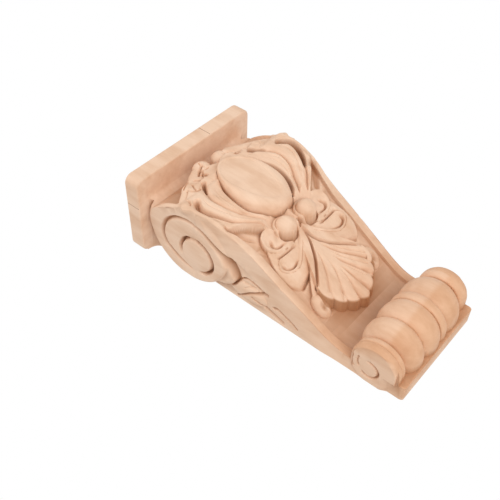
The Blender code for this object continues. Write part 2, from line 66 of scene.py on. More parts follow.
# The blank
# One block of pale hardwood, glued up from staves, is sawn to the outline of a corbel: a flat
# plate, a round shoulder with a scroll on each side, a slope and a hollow sweep to a thin tail.
low, high = (np.array(corner) * 1000.0 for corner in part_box("corbel"))
LENGTH = round(high[2] - low[2], 1)
WIDTH = round(high[0] - low[0], 1)
DEPTH = round(high[1] - low[1], 1)
PLATE_THICK, PLATE_ROUND, PLATE_CORNER = 12.0, 1.3, 6.0
NECK_FRONT, NECK_HALF = 44.0, 44.5
SHOULDER_A, SHOULDER_TOP, SHOULDER_R = 60.0, 64.0, 54.0
SHOULDER_STEP, SHOULDER_STEP_RUN = 1.8, (43.0, 48.0)
SWEEP_A, SWEEP_R = 180.0, 60.0
SWEEP_DIP, DIP_FALLS, DIP_RISES = 2.6, (148.0, 174.0), (186.0, 196.0)
TAIL_THICK = 12.0
HALF_WIDTHS = ((46, 51.0), (60, 51.8), (67, 50.6), (80, 49), (93, 46.2), (103, 45.2), (126, 44.5),
               (150, 43), (168, 42.3), (204, 42), (218, 41.9), (219.3, 41.3), (220, 40.4))
TIP_A, TIP_OUT, TIP_SPREAD, TIP_DEEP = 50.6, 2.6, 3.2, (1.0, 6.0)
SCROLL_MIDDLE, SCROLL_R, SCROLL_HALF = (50.0, 33.0), 36.0, 51.5
SCROLL_EASED, SCROLL_BLEND, BLEND_A, BLEND_Z = 3.0, 8.0, (58.0, 70.0), (28.0, 40.0)
CROOK, CROOK_R, CROOK_LONG, CROOK_EASED, CROOK_IN = (73.0, 22.0), 15.0, 1.25, 4.0, 2.4
CROOK_LEAF, CROOK_LEAF_R, CROOK_LEAF_LONG, CROOK_LEAF_OUT = (100.0, 12.0), 8.0, 2.0, 2.6
STRIP, STRIP_EDGE, STRIP_STARTS, STRIP_TAPERS = 16.5, 0.6, (46.0, 58.0), (96.0, 116.0)
ROLL_A, ROLL_Z, ROLL_END_R, ROLL_END_HALF, ROLL_END_EASED = 198.0, 16.0, 17.2, 44.2, 1.2
FOOT_STARTS = (ROLL_A + 6.0, ROLL_A + 12.0)
OVER_TAIL = (TAIL_THICK + 0.1, TAIL_THICK + 0.6)


def soft_step(x, start, end):
    """0 below start, 1 above end, smooth between."""
    t = np.clip((x - start) / (end - start), 0.0, 1.0)
    return t * t * (3.0 - 2.0 * t)


def along_table(x, table):
    """A value read from a table of (place, value) pairs."""
    return np.interp(x, [place for place, value in table], [value for place, value in table])


def round_top(d, half):
    """A half-round section: 1 on the line, 0 at the edge."""
    return np.sqrt(np.clip(1.0 - (d / half) ** 2, 0.0, 1.0))


def cut(d, half):
    """A gouge's section: 1 in the middle of the cut, 0 at its edge."""
    return soft_step(half - d, 0.0, half)


def valley(d, half):
    """A valley between two round forms: sharp at the bottom, level at the edge."""
    return 1.0 - np.sin(0.5 * math.pi * np.clip(d / half, 0.0, 1.0))


SLOPE_SPAN = SWEEP_A - SHOULDER_A
SLOPE_RISE = TAIL_THICK + SWEEP_R - (SHOULDER_TOP - SHOULDER_R)
LEAN = (math.asin((SHOULDER_R + SWEEP_R) / math.hypot(SLOPE_SPAN, SLOPE_RISE))
        - math.atan2(SLOPE_RISE, SLOPE_SPAN))


def front_edge(a):
    """Distance of the front arris from the back, all down the body."""
    shoulder_z = SHOULDER_TOP - SHOULDER_R
    shoulder = shoulder_z + np.sqrt(np.clip(SHOULDER_R ** 2 - (a - SHOULDER_A) ** 2, 0.0, None))
    sweep_z = TAIL_THICK + SWEEP_R
    sweep = sweep_z - np.sqrt(np.clip(SWEEP_R ** 2 - (SWEEP_A - a) ** 2, 0.0, None))
    slope_a = SHOULDER_A + SHOULDER_R * math.sin(LEAN)
    slope = shoulder_z + SHOULDER_R * math.cos(LEAN) - math.tan(LEAN) * (a - slope_a)
    shoulder = shoulder - SHOULDER_STEP * (1.0 - soft_step(a, *SHOULDER_STEP_RUN))
    z = np.where(a < slope_a, np.maximum(shoulder, NECK_FRONT), slope)
    z = np.where(a > SWEEP_A - SWEEP_R * math.sin(LEAN), sweep, z)
    z = np.where(a > SWEEP_A, TAIL_THICK, z)
    return z - SWEEP_DIP * soft_step(a, *DIP_FALLS) * (1.0 - soft_step(a, *DIP_RISES))


def disc(distance, radius, easing):
    """1 inside a round disc with an eased edge, 0 outside."""
    return round_top(np.clip(distance - radius + easing, 0.0, easing), easing)


def side_level(a, z):
    """Half width of the body before its sides are carved: the scroll's disc stands proud."""
    strip = along_table(a, HALF_WIDTHS)
    below = NECK_HALF + (strip - NECK_HALF) * soft_step(a, *FOOT_STARTS)
    under = (front_edge(a) - z) * math.cos(LEAN)
    on_strip = (1.0 - soft_step(under, STRIP - STRIP_EDGE, STRIP + STRIP_EDGE)) * soft_step(a, *STRIP_STARTS)
    tapered = np.clip(1.0 - under / TAIL_THICK, 0.0, 1.0)
    on_strip = on_strip + (tapered - on_strip) * soft_step(a, *STRIP_TAPERS)
    level = below + (strip - below) * on_strip
    easing = SCROLL_EASED + SCROLL_BLEND * soft_step(a, *BLEND_A) * soft_step(z, *BLEND_Z)
    scroll = disc(np.hypot(a - SCROLL_MIDDLE[0], z - SCROLL_MIDDLE[1]), SCROLL_R, easing)
    crook = disc(np.hypot((a - CROOK[0]) / CROOK_LONG, z - CROOK[1]), CROOK_R, CROOK_EASED)
    leaf_d = np.hypot((a - CROOK_LEAF[0]) / CROOK_LEAF_LONG, z - CROOK_LEAF[1])
    leaf = round_top(leaf_d, CROOK_LEAF_R)
    for share, out in ((scroll, SCROLL_HALF - NECK_HALF), (crook, SCROLL_HALF - NECK_HALF - CROOK_IN),
                       (leaf, CROOK_LEAF_OUT)):
        level = np.maximum(level, (NECK_HALF + out * share) * (share > 0.0))
    foot = soft_step(a, *FOOT_STARTS) * (1.0 - soft_step(z, *OVER_TAIL))
    roll_end = disc(np.hypot(a - ROLL_A, z - ROLL_Z), ROLL_END_R, ROLL_END_EASED) * (1.0 - foot)
    level = level + np.clip(ROLL_END_HALF - level, 0.0, None) * roll_end
    tip = np.exp(-((a - TIP_A) / TIP_SPREAD) ** 2) * (1.0 - soft_step(under, *TIP_DEEP))
    return level + TIP_OUT * tip


# The roll
# A bobbin lies across the foot, cut in one with the blank: round rings of uneven width side by
# side, and a disc at each end that is carved as a small scroll. Each ring has its two ends, its
# crest, its radius there and how far it falls off to either end.
RINGS = (
    (-44.3, -38.4, -40.0, 17.2, 1.4, 0.6), (-38.4, -33.2, -36.2, 17.0, 0.6, 2.6),
    (-33.2, -14.6, -21.5, 20.2, 6.6, 3.6), (-14.6, 3.2, -5.0, 20.9, 3.8, 2.6),
    (3.2, 10.0, 6.6, 20.2, 1.0, 1.0), (10.0, 33.2, 19.5, 20.2, 2.6, 6.6),
    (33.2, 44.3, 37.5, 17.0, 1.8, 1.9),
)
RING_ROUND = 2.6


def roll(a, across):
    """Height of the roll over the back, 0 where there is none."""
    height = np.zeros(np.broadcast(a, across).shape)
    reach = np.abs(a - ROLL_A)
    for start, finish, crest, radius, first_dip, last_dip in RINGS:
        before = across < crest
        off = np.where(before, (crest - across) / (crest - start), (across - crest) / (finish - crest))
        swell = radius - np.where(before, first_dip, last_dip) * np.clip(off, 0.0, 1.0) ** RING_ROUND
        ring = ROLL_Z + np.sqrt(np.clip(swell ** 2 - reach ** 2, 0.0, None))
        height = np.where((off <= 1.0) & (reach < swell), np.maximum(height, ring), height)
    return height


def rim_height(a):
    """Distance of the outer edge from the back: the front arris, and the end of the roll."""
    return np.maximum(front_edge(a), roll(a, ROLL_END_HALF))


# The sheet of points that the carving is cut in: rows down the length, columns across the front.
# The rows lie closer where the roll rises and falls steeply.
ROW_STEP = 0.42
FRONT_STEPS, SIDE_STEPS, COVE_ROWS = 300, 84, 9
COVE_LONG, COVE_SIDE, COVE_FRONT = 6.0, 9.0, 6.0
ROLL_ZONES = (-22.0, -15.0, 15.0, 21.6)
ROW_DENSITY = (1.0, 2.2, 1.0, 2.2, 1.0)

stops = [PLATE_THICK + COVE_LONG] + [ROLL_A + off for off in ROLL_ZONES] + [LENGTH]
counts = [max(2, round((end - start) / ROW_STEP * more))
          for start, end, more in zip(stops, stops[1:], ROW_DENSITY)]
cove_turn = np.linspace(0.0, math.pi / 2, COVE_ROWS + 1)[:-1]
rows = [PLATE_THICK + COVE_LONG * (1.0 - np.cos(cove_turn))]
rows += [np.linspace(start, end, count, endpoint=False)
         for start, end, count in zip(stops, stops[1:], counts)]
down = np.concatenate(rows + [[LENGTH]])[:, None]
cove = 1.0 - np.sqrt(1.0 - np.clip((PLATE_THICK + COVE_LONG - down) / COVE_LONG, 0.0, 1.0) ** 2)
half = side_level(down, front_edge(down))

across_t = np.linspace(-1.0, 1.0, FRONT_STEPS + 1)[None]
a = down + 0.0 * across_t
across = half * across_t
u = np.abs(across)
edge = front_edge(a)

# The panel and its borders
# The ground of the carving is sunk between two narrow borders, which widen below the shoulder.
BORDERS = ((78, 2.6), (90, 4.2), (105, 6.0))
PANEL_SUNK = ((110, 3.4), (160, 2.6))
PANEL_STARTS, PANEL_ENDS = (18.0, 34.0), (ROLL_A, ROLL_A + 4.0)
WALL, WALL_SHADE, WALL_SHADE_OFF, WALL_SHADE_HALF = 1.0, 0.5, 0.7, 1.5
WALL_SHADE_STARTS, WALL_SHADE_END = (66.0, 76.0), ROLL_A - 18.0
sunk = soft_step(a, *PANEL_STARTS) * (1.0 - soft_step(a, *PANEL_ENDS))
border = along_table(a, BORDERS)
on_panel = sunk * (1.0 - soft_step(u, half - border - WALL, half - border))
front = edge - along_table(a, PANEL_SUNK) * on_panel
# Painted shade: a dark line is painted on the inner wall of each border, from below the shoulder to above
# the roll
painted_wall_shade = WALL_SHADE * cut(np.abs(u - half + border + WALL_SHADE_OFF), WALL_SHADE_HALF)
painted_wall_shade = painted_wall_shade * soft_step(a, *WALL_SHADE_STARTS) * (a < WALL_SHADE_END)


def smooth_line(points, pieces=7):
    """A smooth line through a few points, as an array of many."""
    p = np.array(points, float)
    p = np.vstack([2 * p[0] - p[1], p, 2 * p[-1] - p[-2]])
    t = np.linspace(0.0, 1.0, pieces, endpoint=False)[:, None]
    out = []
    for before, start, end, after in zip(p, p[1:], p[2:], p[3:]):
        out.append(0.5 * (2 * start + (end - before) * t
                          + (2 * before - 5 * start + 4 * end - after) * t ** 2
                          + (3 * start - before - 3 * end + after) * t ** 3))
    return np.vstack(out + [p[-2:-1]])


def nearest(x, y, line, within):
    """Distance to a line and how far along it (0 to 1), where it is within reach."""
    best = np.full(x.shape, 1e3)
    along = np.zeros(x.shape)
    low_x, low_y = line.min(0) - within
    high_x, high_y = line.max(0) + within
    near = (x > low_x) & (x < high_x) & (y > low_y) & (y < high_y)
    px, py = x[near], y[near]
    d2, t_best = np.full(px.shape, 1e6), np.zeros(px.shape)
    count = len(line) - 1
    for k in range(count):
        ax, ay = line[k]
        dx, dy = line[k + 1] - line[k]
        t = np.clip(((px - ax) * dx + (py - ay) * dy) / (dx * dx + dy * dy), 0.0, 1.0)
        d = (px - ax - t * dx) ** 2 + (py - ay - t * dy) ** 2
        closer = d < d2
        d2 = np.where(closer, d, d2)
        t_best = np.where(closer, (k + t) / count, t_best)
    best[near], along[near] = np.sqrt(d2), t_best
    return best, along


def inside(x, y, line):
    """True inside a closed outline."""
    within = np.zeros(x.shape, bool)
    for (ax, ay), (bx, by) in zip(line, np.roll(line, -1, axis=0)):
        if ax != bx:
            crossed = (x < ax) != (x < bx)
            within ^= crossed & (y < ay + (x - ax) / (bx - ax) * (by - ay))
    return within


def gouge(ground, line, half_start, half_end, depth, sharp=False, fade=(0.0, 0.0)):
    """The ground with a groove cut along a line; fade is the share of its length that each end takes."""
    d, t = nearest(a, u, smooth_line(line), np.max(np.maximum(half_start, half_end)))
    wide = half_start + (half_end - half_start) * t
    section = valley(d, wide) if sharp else cut(d, wide)
    first = np.clip(t / max(fade[0], 1e-6), 0.0, 1.0)
    last = np.clip((1.0 - t) / max(fade[1], 1e-6), 0.0, 1.0)
    return ground - depth * section * first * last


# The leaf round the boss
# Broad soft strands sweep from the curled head of the leaf, round the oval boss, to the balls
# below it. Deep grooves part them, and on each flank the outer strand is the edge of the front.
LEAF_HEAD = ((0, 33), (5, 30), (12, 29), (18, 36.5), (26, 38), (33, 36), (38, 40), (43, 43), (52, 40))
LEAF_FLANK = ((58, 56), (60.5, 51), (66.5, 50.5), (72.5, 49.2), (78.5, 46.8), (82.7, 42), (87.8, 35),
              (92.8, 28), (98, 21), (103, 14))
LEAF_RISE, LEAF_DISH, DISH_U, DISH_A = 0.8, 5.0, (16.0, 40.0), (42.0, 58.0)
LEAF_EDGE, LEAF_END = 1.0, 103.0
HEAD_Z, HEAD_START_Z, HEAD_START_A, HEAD_CLIMB = 61.5, 59.5, 30.0, 0.2
HEAD_FALL, HEAD_FALL_U, HEAD_FALL_POWER = 0.09, 34.0, 1.3
head_line, flank_line = along_table(u, LEAF_HEAD), along_table(a, LEAF_FLANK)
head = soft_step(a, head_line - LEAF_EDGE, head_line + LEAF_EDGE)
flank = 1.0 - soft_step(u, flank_line - 0.5 * LEAF_EDGE, flank_line + 0.7 * LEAF_EDGE)
dish = LEAF_DISH * (1.0 - soft_step(u, *DISH_U)) * soft_step(a, *DISH_A)
head_z = np.minimum(HEAD_Z, HEAD_START_Z + HEAD_CLIMB * (a - HEAD_START_A))
head_z = head_z - HEAD_FALL * np.clip(u - HEAD_FALL_U, 0.0, None) ** HEAD_FALL_POWER
leaf_z = np.maximum(edge + LEAF_RISE, head_z) - dish
leaf = head * flank * (a < LEAF_END)
front = front + np.clip(leaf_z - front, 0.0, None) * leaf

# Each groove has its line, its half width at the start and at the end, and its depth
STRAND_GROOVES = (
    (((43, 9), (48, 12.5), (57, 18.5), (65, 21), (72, 21.5), (79, 19.8), (86, 15.8), (92, 12)),
     3.2, 2.8, 4.2),
    (((39, 22), (46, 27.5), (52.5, 31.5), (59, 33.5), (66, 33), (73, 30.7), (80, 26), (86, 22), (93, 16.5)),
     4.4, 2.6, 3.2),
    (((50, 43), (58, 46.5), (66, 45.6), (73, 42.3), (79, 38.6), (85, 33.6), (90, 27.6), (96, 21)),
     4.2, 2.4, 3.4),
)
for line, first, last, depth in STRAND_GROOVES:
    front = gouge(front, line, first, last, depth, sharp=True, fade=(0.1, 0.0))

# Short cuts are sunk deeper in the grooves and beside them, widest and deepest on the right half
GROOVE_EYES = (
    (((40, 22.5), (45, 26.5), (51, 30.8)), 2.3, 1.0, 5.0),
    (((50.5, 40.5), (55, 43.6), (60, 46.3), (67, 45.4), (74, 42.2), (81, 37.8)), 2.9, 1.4, 5.8),
    (((79, 45.8), (85, 41.8), (90, 38.0), (96, 32.0)), 3.4, 2.0, 2.2),
    (((35.5, 16.5), (38.5, 16.0)), 2.2, 1.4, 4.0),
)
EYES_WIDER_LEFT, EYES_WIDER_RIGHT, EYE_DARK_DEPTH = 1.1, 1.5, 4.0
on_right = across > 0.0
# Painted shade: on the right half these cuts are painted darker by their depth
painted_eye_shade = np.zeros(a.shape)
for line, first, last, depth in GROOVE_EYES:
    wider = np.where(on_right, EYES_WIDER_RIGHT, EYES_WIDER_LEFT)
    cut_to = gouge(front, line, first * wider, last * wider, depth * wider, fade=(0.12, 0.2))
    painted_eye_shade = np.maximum(painted_eye_shade, np.clip((front - cut_to) / EYE_DARK_DEPTH, 0.0, 1.0) * on_right)
    front = cut_to

# Fine veins run along the strands
FINE_LINES = (
    ((50, 22.5), (58, 26.3), (66, 26.8), (74, 25.5), (82, 21.5), (90, 16)),
    ((54, 25.8), (61, 29.6), (69, 29.4), (77, 26.2), (85, 20.8)),
    ((52, 37), (60, 40), (68, 39), (76, 35.0), (84, 28.5), (92, 21.5)),
    ((62, 48.4), (70, 47), (77, 43.8), (83, 38.4), (89, 31.6)),
)
FINE_HALF, FINE_HALF_END, FINE_DEPTH = 0.9, 0.7, 0.55
for line in FINE_LINES:
    front = gouge(front, line, FINE_HALF, FINE_HALF_END, FINE_DEPTH, fade=(0.2, 0.2))

# The curled head of the leaf
# Its tips turn over into small knobs that stand clear of the plate's hollow, a little lower on the
# right half, and a soft roll of leaf joins them. Each knob has its place, radius and top.
CURLS = ((26.6, 9.5, 6.8, 60.6), (37.6, 31.0, 7.4, 60.6), (50.2, 49.5, 4.2, 64.6), (33.4, 21.5, 6.0, 59.4))
CURL_SWELL, CURL_LOWER, CURL_LOWER_TO = 0.7, 2.0, 45.0
for mid_a, mid_u, radius, top_z in CURLS:
    d = np.hypot(a - mid_a, u - mid_u)
    top = top_z - CURL_LOWER * on_right * (a < CURL_LOWER_TO)
    knob = top - CURL_SWELL * radius * (1.0 - round_top(d, radius))
    front = np.where(d < radius, np.maximum(front, knob), front)
HEAD_RIM = ((28, 16), (31, 22), (33.5, 27), (37, 34), (42, 42), (47, 48))
HEAD_RIM_HALF, HEAD_RIM_Z, HEAD_RIM_RISE = 4.4, 56.6, 2.2
d, t = nearest(a, u, smooth_line(HEAD_RIM), HEAD_RIM_HALF)
rim = HEAD_RIM_Z + HEAD_RIM_RISE * round_top(d, HEAD_RIM_HALF)
front = np.where(d < HEAD_RIM_HALF, np.maximum(front, rim), front)
CURL_CUTS = (
    (((27.5, 24), (31, 29.5), (34.5, 36.5)), 1.2, 1.0, 2.4),
    (((26.5, 8), (29.5, 15), (33, 20)), 1.2, 1.0, 2.4),
    (((22, 8.2), (26, 10.8), (30.5, 10.0)), 0.9, 0.7, 1.4),
    (((36, 29), (39.5, 31.5), (44, 33)), 0.9, 0.7, 1.5),
    (((32.5, 25), (35.5, 22.5), (37.8, 19.8)), 0.9, 0.7, 1.3),
    (((36.5, 35.5), (41.5, 35.3), (44.5, 31.5), (42.5, 27.8)), 1.3, 0.8, 1.8),
    (((28, 15.2), (31.5, 11.5), (31.5, 6.8)), 1.1, 0.9, 1.4),
    (((46, 44.6), (50, 46.0), (53, 48.6)), 1.1, 0.8, 1.4),
)
CURL_CUTS_RIGHT = 0.25
for line, first, last, depth in CURL_CUTS:
    depth = depth * np.where(on_right, CURL_CUTS_RIGHT, 1.0)
    front = gouge(front, line, first, last, depth, fade=(0.15, 0.15))

# The oval boss
# A smooth egg with a nearly flat field inside a thin raised rim, and a round foot.
CROWN_A, CROWN_UP, CROWN_DOWN, CROWN_HALF, CROWN_POWER = 56.0, 19.0, 34.0, 15.6, 1.6
FIELD = ((37, 64.3), (50, 64.7), (62, 64.2), (90, 61.0))
FOOT = ((34.5, -2), (35.5, 4), (40, 9.5), (45, 13.4), (50, 16.2), (57, 18.8), (65, 20.4), (72, 20.8),
        (79, 19.2), (86, 15.4), (91, 11.4), (94, 6.5), (95, -2))
FOOT_DEEP = ((40, 3.0), (46, 4.0), (58, 7.5), (70, 9.0))
FOOT_REACH, RIM_RISE, RIM_CROWN, BOSS_JOINS_A = 14.0, 0.6, (0.90, 0.97), 40.0
FOOT_CUT_STARTS, FOOT_CUT_ENDS = (40.0, 54.0), (80.0, 88.0)
FOOT_CUT_IN, FOOT_CUT_OUT, FOOT_CUT_LEFT, FOOT_CUT_RIGHT = 1.6, 2.8, 1.2, 5.5
t = np.where(a < CROWN_A, (a - CROWN_A) / CROWN_UP, (a - CROWN_A) / CROWN_DOWN)
crown = np.sqrt((u / CROWN_HALF) ** CROWN_POWER + t ** 2)
foot_line = smooth_line(FOOT)
in_foot = inside(a, u, foot_line)
d, t = nearest(a, u, foot_line, FOOT_REACH)
out = CROWN_HALF * np.clip(crown - 1.0, 0.0, None)
slope = np.clip(out / (out + np.clip(d, 1e-6, None)), 0.0, 1.0)
field = along_table(a, FIELD) - RIM_RISE * (1.0 - soft_step(crown, *RIM_CROWN))
deep = along_table(a, FOOT_DEEP)
boss = edge - deep + (field - edge + deep) * round_top(slope, 1.0)
front = np.where(in_foot, np.where(a < BOSS_JOINS_A, np.maximum(front, boss), boss), front)
round_foot = cut(d, np.where(in_foot, FOOT_CUT_IN, FOOT_CUT_OUT))
round_foot = round_foot * soft_step(a, *FOOT_CUT_STARTS) * (1.0 - soft_step(a, *FOOT_CUT_ENDS))
front = front - np.where(on_right, FOOT_CUT_RIGHT, FOOT_CUT_LEFT) * round_foot
# Painted shade: the round cut at the foot is painted dark on the right half
painted_slit_shade = np.sqrt(round_foot) * on_right

# The hanging leaf
# Under the balls three lobes with thin rims overlap on each side. Each is a closed outline, its
# height over the edge line and the depth that it is hollowed inside the rim, or swells if below 0.
LOBES = (
    (((116, 5), (124, 9), (128, 14), (130.5, 23.4), (132.5, 31.5), (128.5, 36.3), (122.7, 38.6), (116, 38),
      (109, 35.5), (103, 31), (104, 20), (108, 8)), -0.6, -1.2),
    (((110, 3), (116, 9.5), (121, 16.0), (124, 22.7), (123.5, 29.4), (120.3, 34.6), (116.5, 35), (113, 31),
      (112.6, 25), (111.5, 14), (107, 6)), 0.9, 2.2),
    (((106.5, 3), (110.3, 9), (111.2, 17.5), (111, 25), (108.5, 31), (103, 33.5), (97, 31), (95, 24),
      (98, 16), (101, 8)), 1.6, 1.6),
)
LOBE_REACH, LOBE_RIM, LOBE_HOLLOW_TO, LOBE_EDGE_FALL, LOBE_BITES = 12.0, 0.9, 4.2, 2.4, 1.0
for outline, rise, hollow in LOBES:
    line = smooth_line(outline + outline[:1])
    d, t = nearest(a, u, line, LOBE_REACH)
    within = inside(a, u, line)
    rim_fall = LOBE_EDGE_FALL * (1.0 - round_top(np.clip(LOBE_RIM - d, 0.0, LOBE_RIM), LOBE_RIM))
    lobe = edge + rise - hollow * soft_step(d, LOBE_RIM, LOBE_HOLLOW_TO) - rim_fall
    front = np.where(within, np.maximum(front - LOBE_BITES, lobe), front)
LOBE_CUTS = (
    (((101, 25.5), (105, 28), (108, 25.5), (108, 18)), 1.9, 1.0, 2.6),
    (((116, 31.5), (120, 31.0), (121.6, 25.5), (119.5, 18.5)), 1.6, 0.9, 2.2),
    (((112.2, 32), (112.6, 26), (112.9, 19), (112.5, 11)), 1.3, 1.0, 2.4),
    (((133, 31.5), (131, 23.6), (128.6, 14.8), (124.5, 8.5)), 1.9, 0.9, 2.6),
)
for line, first, last, depth in LOBE_CUTS:
    front = gouge(front, line, first, last, depth, fade=(0.15, 0.2))

# A thin stem runs out beside the fan to a curled knob
STEM = ((108, 2.4), (116, 5.2), (123, 9.6), (130, 15.6), (136, 22.0), (142, 27.5))
STEM_HALF, STEM_RISE, STEM_ROUND = 2.6, 0.2, 0.8
d, t = nearest(a, u, smooth_line(STEM), STEM_HALF)
stem = edge + STEM_RISE + STEM_ROUND * round_top(d, STEM_HALF)
front = np.where(d < STEM_HALF, np.maximum(front, stem), front)

# The fan
# The middle of the leaf opens in round fingers that lift well off the panel and end in a scallop.
FAN_A, FAN_ANGLE = 100.0, math.radians(31.4)
FAN_SHORT, FAN_LONG, FAN_POWER, FAN_FLUTES, FLUTE_OUT = 49.0, 63.5, 0.6, 7, 2.2
FAN_LIFT, FAN_ROOT, FAN_RUN, FAN_WIDEST, FAN_STARTS = 8.2, 0.9, (6.0, 58.0), FAN_ANGLE * 1.01, FAN_A + 2.0
LIP, LIP_DROOP, FLUTE_DROOP, FLUTE_RUN = 4.0, 1.8, 1.4, (44.0, 56.0)
LIP_ROUND = LIP + 0.1
angle = np.arctan2(u, a - FAN_A)
reach = np.hypot(a - FAN_A, u)
share = np.clip(angle / FAN_ANGLE, 0.0, 1.0)
finger = np.sqrt(np.abs(np.cos(math.pi * 0.5 * FAN_FLUTES * share)))
end = FAN_SHORT + (FAN_LONG - FAN_SHORT) * (1.0 - share) ** FAN_POWER + FLUTE_OUT * finger
lift = FAN_LIFT * soft_step(reach, *FAN_RUN) - FAN_ROOT
droop = LIP_DROOP * (1.0 - round_top(np.clip(reach - end + LIP, 0.0, LIP), LIP_ROUND))
droop = droop + FLUTE_DROOP * (1.0 - finger) * soft_step(reach, *FLUTE_RUN)
in_fan = (angle <= FAN_WIDEST) & (reach < end) & (a > FAN_STARTS)
front = np.where(in_fan, np.maximum(front, edge + lift - droop), front)
FAN_CUTS = (
    (((118, 2.2), (126, 4.6), (133, 8.4), (140, 13.8), (148, 21.2)), 1.2, 2.3, 1.9),
    (((131, 2.2), (139, 4.6), (148, 9.6), (157, 16.4)), 1.0, 2.4, 1.9),
    (((140, 0.9), (150, 2.2), (163, 5.6)), 0.9, 2.2, 1.8),
    (((121, 4.6), (130, 9.4), (138, 15.6), (145, 22.4)), 0.8, 1.4, 0.8),
    (((125, 2.4), (134, 5.8), (142, 10.6), (151, 17.8)), 0.8, 1.4, 0.7),
    (((136, 2.2), (145, 5.2), (155, 10.6)), 0.8, 1.2, 0.6),
)
FAN_CUTS_RIGHT, FAN_CUTS_LEFT, FAN_FINE_LEFT = 1.15, 0.65, 0.2
for line, first, last, depth in FAN_CUTS:
    left = FAN_CUTS_LEFT if depth > 1.0 else FAN_FINE_LEFT
    depth = depth * np.where(across < 0.0, left, FAN_CUTS_RIGHT)
    front = gouge(front, line, first, last, depth, sharp=True, fade=(0.35, 0.0))
VEIN = ((105, 0.3), (110, 0.7), (115.7, 1.9), (121, 5.0), (127, 9.8), (133, 16.4), (140.5, 25.0))
VEIN_HALF, VEIN_HALF_END, VEIN_DEPTH = 1.0, 1.6, 4.0
front = gouge(front, VEIN, VEIN_HALF, VEIN_HALF_END, VEIN_DEPTH, fade=(0.2, 0.03))

KNOB_A, KNOB_U, KNOB_R, KNOB_SLIM = 147.0, 28.3, 6.2, 0.82
KNOB_SUNK, KNOB_HIGH, HOLLOW_ON, HOLLOW_R, HOLLOW_DEEP = 3.0, 6.4, 2.6, 3.8, 2.6
d = np.hypot((a - KNOB_A) * KNOB_SLIM, u - KNOB_U)
knob = edge - KNOB_SUNK + KNOB_HIGH * round_top(d, KNOB_R)
front = np.where(d < KNOB_R, np.maximum(front, knob), front)
knob_hollow = cut(np.hypot(a - KNOB_A - HOLLOW_ON, u - KNOB_U), HOLLOW_R)
front = front - HOLLOW_DEEP * knob_hollow

# The balls
# A pair of round beads under the boss, each tightly wrapped by a raised rim on the upper side.
BALL_A, BALL_U, BALL_Z, BALL_R = 102.3, 10.8, 50.4, 7.2
WRAP_R, WRAP_HALF, WRAP_TOP, WRAP_HIGH = 8.0, 1.3, 52.0, 2.0
WRAP_TURN, WRAP_ENDS = -0.25, (1.7, 2.1)
BESIDE_OFF, BESIDE_DOWN, BESIDE_CLIMB = 1.0, 1.8, 0.9
UNDERCUT, UNDERCUT_OFF, UNDERCUT_HALF = 2.4, 0.5, 1.2
d = np.hypot(a - BALL_A, u - BALL_U)
turn = np.arctan2(u - BALL_U, BALL_A - a)
wrapped = 1.0 - soft_step(np.abs(turn - WRAP_TURN), *WRAP_ENDS)
beside = WRAP_TOP - BESIDE_DOWN + BESIDE_CLIMB * np.clip(d - WRAP_R - BESIDE_OFF, 0.0, None)
front = np.where(in_foot, front, np.minimum(front, beside))
wrap = WRAP_TOP - WRAP_HIGH + WRAP_HIGH * round_top(d - WRAP_R, WRAP_HALF)
on_wrap = np.abs(d - WRAP_R) < WRAP_HALF
front = np.where(on_wrap, front + (np.maximum(front, wrap) - front) * wrapped, front)
front = front - UNDERCUT * cut(np.abs(d - BALL_R - UNDERCUT_OFF), UNDERCUT_HALF) * (1.0 - wrapped)
front = np.where(d < BALL_R, BALL_Z + BALL_R * round_top(d, BALL_R), front)

# The arris is eased by hand, most of all at the shoulder
ARRIS, SHOULDER_ARRIS, SHOULDER_ENDS = 1.0, 1.6, (38.0, 50.0)
ARRIS_STARTS, ARRIS_ENDS, UNDER_TOP = (20.0, 30.0), (168.0, 176.0), 0.05
easing = ARRIS + SHOULDER_ARRIS * (1.0 - soft_step(a, *SHOULDER_ENDS))
eased_off = easing * (1.0 - round_top(np.clip(u - half + easing, 0.0, easing), easing))
front = front - eased_off * soft_step(a, *ARRIS_STARTS) * (1.0 - soft_step(a, *ARRIS_ENDS))
front = np.minimum(np.maximum(front, roll(a, across)), DEPTH - UNDER_TOP)


def sunk_below(height, spread):
    """How far a height lies under the ground averaged round it, along and across."""
    around = height
    for axis in (0, 1):
        weight = np.exp(-0.5 * (np.arange(-3 * spread, 3 * spread + 1) / spread) ** 2)
        padded = np.pad(around, [(3 * spread, 3 * spread) if k == axis else (0, 0) for k in (0, 1)], 'edge')
        around = np.apply_along_axis(np.convolve, axis, padded, weight / weight.sum(), 'valid')
    return around - height


# The scrolls on the sides
# A groove winds round each side disc to a round eye, and a leaf tip is cut in the crook below. The
# lines are places (a, z); a cut has its line, its half width at either end and its depth.
SCROLL_GROOVE = ((92.0, 19.8), (90.4, 24.2), (87.6, 29.4), (83.6, 35.2), (78.6, 40.4), (72.2, 45.6),
                 (65.0, 49.8), (57, 52.0), (50, 51.8), (40, 48.2), (31.5, 40), (28, 30), (29.5, 21.5),
                 (35.5, 15.6), (43, 11.4), (51, 8.8), (58, 8))
